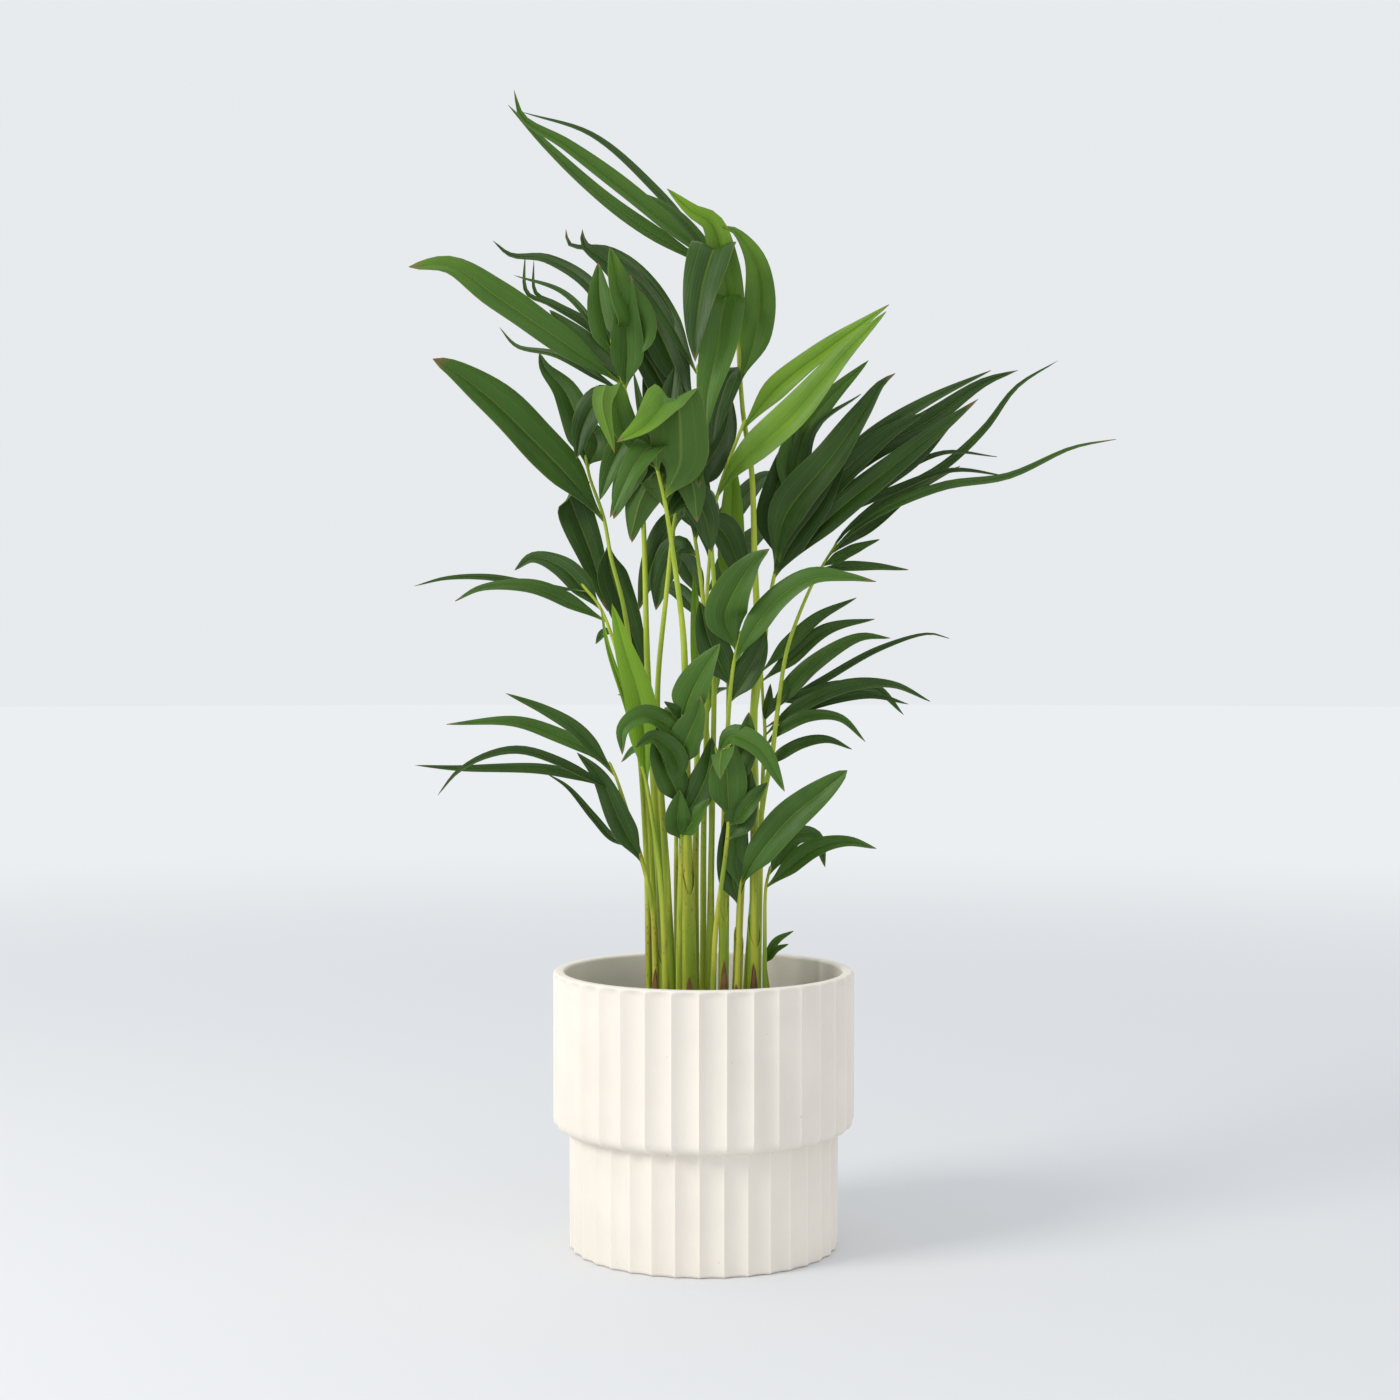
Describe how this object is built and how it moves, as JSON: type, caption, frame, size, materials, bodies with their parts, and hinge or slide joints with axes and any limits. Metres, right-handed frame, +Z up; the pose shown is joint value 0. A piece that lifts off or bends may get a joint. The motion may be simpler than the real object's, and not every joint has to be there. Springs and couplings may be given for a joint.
{
  "type": "potted areca palm",
  "caption": "Young areca palm with arching feather fronds, standing in its nursery pot inside a two-tier fluted ceramic cover pot.",
  "frame": {"origin": "middle of the cover pot's flat underside", "axes": "+Z up, -Y towards the plant's front, +X to the right as seen from the front"},
  "size_m": [0.3535, 0.1935, 0.574],
  "materials": {
    "ceramic": "matte cream stoneware",
    "nursery_plastic": "thin black thermoformed plastic",
    "soil": "damp crumbly potting mix",
    "leaf": "satin dark green leaf on a yellow-green stalk",
    "young_leaf": "satin light green leaf",
    "dry_sheath": "dry papery brown"
  },
  "bodies": {
    "root": {"cover_pot": "ceramic", "nursery_pot": "nursery_plastic", "soil": "soil", "crown_frond": "leaf", "left_crown_frond": "leaf", "inner_crown_frond": "leaf", "left_broad_frond": "leaf", "left_middle_frond": "leaf", "lower_left_frond": "leaf", "left_young_leaf": "young_leaf", "front_frond": "leaf", "centre_frond": "leaf", "bright_frond": "young_leaf", "right_fan_frond": "leaf", "right_frond": "leaf", "right_front_frond": "leaf", "right_low_frond": "leaf", "low_broad_leaf": "leaf", "low_right_frond": "leaf", "low_centre_frond": "leaf", "low_front_frond": "leaf", "young_pair": "young_leaf", "upright_spear": "young_leaf", "back_frond": "leaf", "back_low_frond": "leaf", "plantlet": "leaf", "dry_sheath_1": "dry_sheath", "dry_sheath_2": "dry_sheath", "dry_sheath_3": "dry_sheath", "dry_sheath_4": "dry_sheath", "dry_sheath_5": "dry_sheath"}
  },
  "joints": []
}
